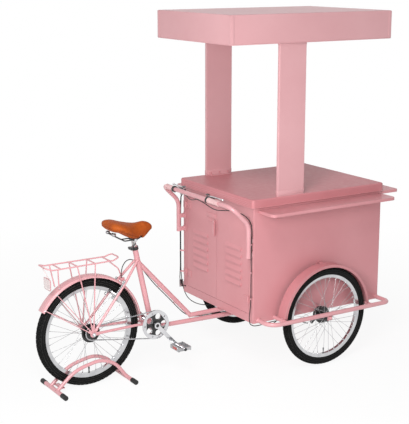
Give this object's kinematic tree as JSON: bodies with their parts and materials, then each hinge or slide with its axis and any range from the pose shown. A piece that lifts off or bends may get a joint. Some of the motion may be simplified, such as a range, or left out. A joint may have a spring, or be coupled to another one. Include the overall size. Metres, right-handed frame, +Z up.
{
  "type": "bicycle food cart",
  "caption": "Reverse-tricycle food cart: a box cabinet with counter, canopy and folding shelves on two front wheels, pushed by a rear-steered bicycle half.",
  "frame": {"origin": "on the ground below the middle of the cart's bounding box", "axes": "+X forward, towards the serving front, +Y to the rider's left, +Z up"},
  "size_m": [2.1828, 1.022, 1.997],
  "materials": {
    "pink_enamel": "satin",
    "steel": "satin",
    "chrome": "gloss",
    "alloy": "satin",
    "black_enamel": "gloss",
    "tyre_rubber": "matte",
    "black_rubber": "matte",
    "grip_rubber": "matte",
    "black_plastic": "matte",
    "reflector": "gloss",
    "saddle_leather": "satin"
  },
  "bodies": {
    "cart": {"base_frame": "pink_enamel", "cabinet_body": "pink_enamel", "counter_top": "pink_enamel", "canopy_posts": "pink_enamel", "canopy_frame": "pink_enamel", "canopy_shell": "pink_enamel", "side_bumpers": "pink_enamel", "front_fenders": "pink_enamel", "handlebar": "pink_enamel", "handlebar_grips": "grip_rubber", "brake_lever_mounts": "black_enamel", "king_pin": "steel", "front_axles": "steel", "front_brake_plates": "black_enamel", "chassis_brake_cables": "black_plastic", "hinge_pins_and_brackets": "pink_enamel", "chassis_bolts": "steel"},
    "door_left": {"door_left": "pink_enamel"},
    "door_right": {"door_right": "pink_enamel"},
    "door_latch": {"door_latch": "pink_enamel"},
    "shelf_left": {"shelf_left": "pink_enamel"},
    "shelf_right": {"shelf_right": "pink_enamel"},
    "shelf_front": {"shelf_front": "pink_enamel"},
    "brake_lever_left": {"brake_lever_left": "chrome"},
    "brake_lever_right": {"brake_lever_right": "chrome"},
    "front_wheel_left": {"front_tyre_left": "tyre_rubber", "front_rim_left": "alloy", "front_spokes_left": "alloy", "front_hub_left": "black_enamel"},
    "front_wheel_right": {"front_tyre_right": "tyre_rubber", "front_rim_right": "alloy", "front_spokes_right": "alloy", "front_hub_right": "black_enamel"},
    "bicycle_frame": {"seat_tube": "pink_enamel", "main_tubes": "pink_enamel", "rear_stays": "pink_enamel", "steering_bearings": "steel", "rear_axle": "steel", "bottom_bracket": "pink_enamel", "chain": "steel", "rear_fender": "pink_enamel", "rear_rack": "pink_enamel", "rear_reflector": "reflector", "seat_collar": "black_enamel", "frame_brake_cable": "black_plastic"},
    "seat_clamp_lever": {"seat_clamp_lever": "black_enamel"},
    "rear_brake_arm_left": {"rear_brake_arm_left": "alloy"},
    "rear_brake_arm_right": {"rear_brake_arm_right": "alloy"},
    "saddle": {"seat_post": "chrome", "saddle_cover": "saddle_leather"},
    "rear_wheel": {"rear_tyre": "tyre_rubber", "rear_rim": "alloy", "rear_spokes": "alloy", "rear_hub": "black_enamel"},
    "crank": {"chainring": "chrome", "crank_arms": "chrome"},
    "pedal_left": {"pedal_left": "alloy"},
    "pedal_right": {"pedal_right": "alloy"},
    "stand": {"parking_stand": "pink_enamel", "stand_caps": "black_rubber"}
  },
  "joints": [
    {"name": "steering", "type": "hinge", "parent": "cart", "child": "bicycle_frame", "pos_m": [0.4995, 0, 0.26], "axis": [0, 0, 1], "range_deg": [-18, 18]},
    {"name": "front_wheel_left_spin", "type": "hinge", "parent": "cart", "child": "front_wheel_left", "pos_m": [0.4995, 0.433, 0.289], "axis": [0, 1, 0], "continuous": true},
    {"name": "front_wheel_right_spin", "type": "hinge", "parent": "cart", "child": "front_wheel_right", "pos_m": [0.4995, -0.433, 0.289], "axis": [0, 1, 0], "continuous": true},
    {"name": "rear_wheel_spin", "type": "hinge", "parent": "bicycle_frame", "child": "rear_wheel", "pos_m": [-0.7865, 0, 0.305], "axis": [0, 1, 0], "continuous": true},
    {"name": "crank_spin", "type": "hinge", "parent": "bicycle_frame", "child": "crank", "pos_m": [-0.3945, 0, 0.286], "axis": [0, 1, 0], "continuous": true},
    {"name": "pedal_left_spin", "type": "hinge", "parent": "crank", "child": "pedal_left", "pos_m": [-0.5116, 0.13, 0.41605], "axis": [0, 1, 0], "continuous": true},
    {"name": "pedal_right_spin", "type": "hinge", "parent": "crank", "child": "pedal_right", "pos_m": [-0.2774, -0.13, 0.15595], "axis": [0, 1, 0], "continuous": true},
    {"name": "door_left_hinge", "type": "hinge", "parent": "cart", "child": "door_left", "pos_m": [0.0395, 0.331, 0.6], "axis": [0, 0, -1], "range_deg": [0, 95]},
    {"name": "door_right_hinge", "type": "hinge", "parent": "cart", "child": "door_right", "pos_m": [0.0395, -0.331, 0.6], "axis": [0, 0, 1], "range_deg": [0, 95]},
    {"name": "door_latch_turn", "type": "hinge", "parent": "door_left", "child": "door_latch", "pos_m": [0.0455, 0.016, 0.808], "axis": [1, 0, 0], "range_deg": [-90, 0]},
    {"name": "shelf_left_fold", "type": "hinge", "parent": "cart", "child": "shelf_left", "pos_m": [0.4995, 0.379, 0.921], "axis": [-1, 0, 0], "range_deg": [0, 90]},
    {"name": "shelf_right_fold", "type": "hinge", "parent": "cart", "child": "shelf_right", "pos_m": [0.4995, -0.379, 0.921], "axis": [1, 0, 0], "range_deg": [0, 90]},
    {"name": "shelf_front_fold", "type": "hinge", "parent": "cart", "child": "shelf_front", "pos_m": [0.9595, 0, 0.929], "axis": [0, 1, 0], "range_deg": [0, 90]},
    {"name": "brake_lever_left_squeeze", "type": "hinge", "parent": "cart", "child": "brake_lever_left", "pos_m": [-0.0665, 0.179, 0.99], "axis": [0, 0, 1], "range_deg": [0, 9], "stiffness_Nm_per_rad": 0.8, "springref_deg": -11.46},
    {"name": "brake_lever_right_squeeze", "type": "hinge", "parent": "cart", "child": "brake_lever_right", "pos_m": [-0.0665, -0.079, 0.99], "axis": [0, 0, -1], "range_deg": [0, 9], "stiffness_Nm_per_rad": 0.8, "springref_deg": -11.46},
    {"name": "rear_brake_arm_left_pivot", "type": "hinge", "parent": "bicycle_frame", "child": "rear_brake_arm_left", "pos_m": [-0.65084, 0.048, 0.48497], "axis": [0.7625, 0, -0.647], "range_deg": [0, 2]},
    {"name": "rear_brake_arm_right_pivot", "type": "hinge", "parent": "bicycle_frame", "child": "rear_brake_arm_right", "pos_m": [-0.65084, -0.048, 0.48497], "axis": [-0.7625, 0, 0.647], "range_deg": [0, 2]},
    {"name": "seat_height", "type": "slide", "parent": "bicycle_frame", "child": "saddle", "axis": [-0.2116, 0, 0.9774], "range_m": [0, 0.1]},
    {"name": "seat_clamp_lever_open", "type": "hinge", "parent": "bicycle_frame", "child": "seat_clamp_lever", "pos_m": [-0.51499, -0.027, 0.73169], "axis": [1, 0, 0], "range_deg": [0, 150]},
    {"name": "stand_lift_off", "type": "slide", "parent": "bicycle_frame", "child": "stand", "axis": [0, 0, 1], "range_m": [-0.3, 0]}
  ],
  "couplings": [
    {"joint": "crank_spin", "follows": "rear_wheel_spin", "ratio": 0.45},
    {"joint": "rear_brake_arm_left_pivot", "follows": "brake_lever_right_squeeze", "ratio": 0.22222},
    {"joint": "rear_brake_arm_right_pivot", "follows": "brake_lever_right_squeeze", "ratio": 0.22222}
  ]
}
